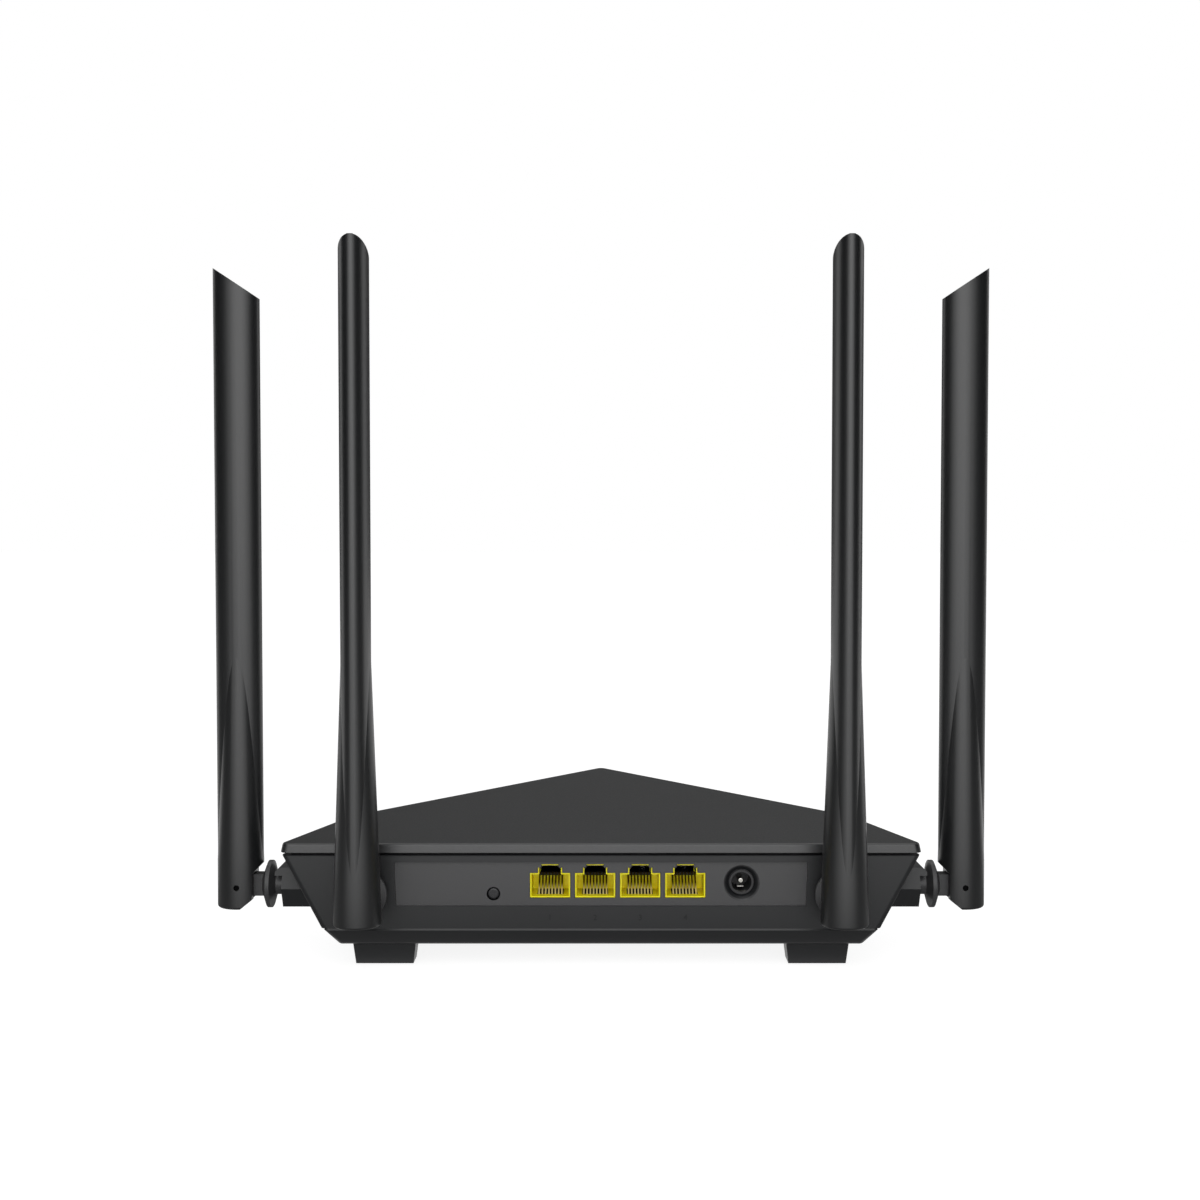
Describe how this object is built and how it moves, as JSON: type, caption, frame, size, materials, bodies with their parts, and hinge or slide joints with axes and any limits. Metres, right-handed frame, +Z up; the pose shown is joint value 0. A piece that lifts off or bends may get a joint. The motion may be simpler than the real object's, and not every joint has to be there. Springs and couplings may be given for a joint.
{
  "type": "wireless router",
  "caption": "Low wireless router with a pointed front, rear network and power sockets, a reset button and tall flat antennas on two-way hinges.",
  "frame": {"origin": "centre of the bounding box, on the floor plane under the feet", "axes": "+X along the rear wall to the right seen from behind, +Y from the rear wall to the nose, +Z up"},
  "size_m": [0.248, 0.1506, 0.2224],
  "materials": {
    "case_plastic": "fine moulded texture",
    "antenna_plastic": "satin moulded",
    "button_plastic": "smooth",
    "jack_plastic": "smooth yellow",
    "power_plastic": "smooth",
    "contact_gold": "plated",
    "nickel": "plated",
    "steel": "zinc plated",
    "board_green": "solder mask",
    "chip_black": "moulded epoxy",
    "pad_grey": "soft",
    "sink_aluminium": "extruded",
    "can_aluminium": "sleeved",
    "clear_plastic": "clear",
    "lamp_white": "diffuse",
    "foot_rubber": "matte",
    "lead_jacket": "jacketed"
  },
  "bodies": {
    "case": {"top_cover": "case_plastic", "bottom_case": "case_plastic", "main_board": "board_green", "network_jack_1": "jack_plastic", "jack_contacts_1": "contact_gold", "network_jack_2": "jack_plastic", "jack_contacts_2": "contact_gold", "network_jack_3": "jack_plastic", "jack_contacts_3": "contact_gold", "network_jack_4": "jack_plastic", "jack_contacts_4": "contact_gold", "power_jack": "power_plastic", "power_pin": "nickel", "power_spring": "nickel", "reset_switch": "chip_black", "processor": "chip_black", "thermal_pad": "pad_grey", "heat_sink": "sink_aluminium", "radio_chip": "chip_black", "radio_shield": "steel", "line_transformers": "chip_black", "capacitors": "can_aluminium", "lead_sockets": "contact_gold", "light_guide": "clear_plastic", "status_lamps": "lamp_white", "board_screws": "steel", "lid_screws": "steel", "foot_pads": "foot_rubber", "lead_rear_left": "lead_jacket", "lead_rear_right": "lead_jacket", "lead_side_left": "lead_jacket", "lead_side_right": "lead_jacket"},
    "button": {"reset_button": "button_plastic"},
    "swivel_rear_left": {"knuckle_rear_left": "antenna_plastic"},
    "antenna_rear_left": {"sleeve_rear_left": "antenna_plastic", "hinge_pin_rear_left": "steel", "radiator_rear_left": "board_green", "feed_rear_left": "lead_jacket"},
    "swivel_rear_right": {"knuckle_rear_right": "antenna_plastic"},
    "antenna_rear_right": {"sleeve_rear_right": "antenna_plastic", "hinge_pin_rear_right": "steel", "radiator_rear_right": "board_green", "feed_rear_right": "lead_jacket"},
    "swivel_side_left": {"knuckle_side_left": "antenna_plastic"},
    "antenna_side_left": {"sleeve_side_left": "antenna_plastic", "hinge_pin_side_left": "steel", "radiator_side_left": "board_green", "feed_side_left": "lead_jacket"},
    "swivel_side_right": {"knuckle_side_right": "antenna_plastic"},
    "antenna_side_right": {"sleeve_side_right": "antenna_plastic", "hinge_pin_side_right": "steel", "radiator_side_right": "board_green", "feed_side_right": "lead_jacket"}
  },
  "joints": [
    {"name": "reset_press", "type": "slide", "parent": "case", "child": "button", "axis": [0, 1, 0], "range_m": [0, 0.0004], "stiffness_N_per_m": 400},
    {"name": "swivel_rear_left", "type": "hinge", "parent": "case", "child": "swivel_rear_left", "pos_m": [-0.0733, -0.0533, 0.0244], "axis": [0, 1, 0], "range_deg": [-90, 40]},
    {"name": "tilt_rear_left", "type": "hinge", "parent": "swivel_rear_left", "child": "antenna_rear_left", "pos_m": [-0.0733, -0.0679, 0.0244], "axis": [1, 0, 0], "range_deg": [0, 90]},
    {"name": "swivel_rear_right", "type": "hinge", "parent": "case", "child": "swivel_rear_right", "pos_m": [0.0733, -0.0533, 0.0244], "axis": [0, 1, 0], "range_deg": [-40, 90]},
    {"name": "tilt_rear_right", "type": "hinge", "parent": "swivel_rear_right", "child": "antenna_rear_right", "pos_m": [0.0733, -0.0679, 0.0244], "axis": [1, 0, 0], "range_deg": [0, 90]},
    {"name": "swivel_side_left", "type": "hinge", "parent": "case", "child": "swivel_side_left", "pos_m": [-0.102, -0.0313, 0.0219], "axis": [1, 0, 0], "range_deg": [-90, 90]},
    {"name": "tilt_side_left", "type": "hinge", "parent": "swivel_side_left", "child": "antenna_side_left", "pos_m": [-0.1166, -0.0313, 0.0219], "axis": [0, -1, 0], "range_deg": [0, 90]},
    {"name": "swivel_side_right", "type": "hinge", "parent": "case", "child": "swivel_side_right", "pos_m": [0.102, -0.0313, 0.0219], "axis": [1, 0, 0], "range_deg": [-90, 90]},
    {"name": "tilt_side_right", "type": "hinge", "parent": "swivel_side_right", "child": "antenna_side_right", "pos_m": [0.1166, -0.0313, 0.0219], "axis": [0, 1, 0], "range_deg": [0, 90]}
  ]
}
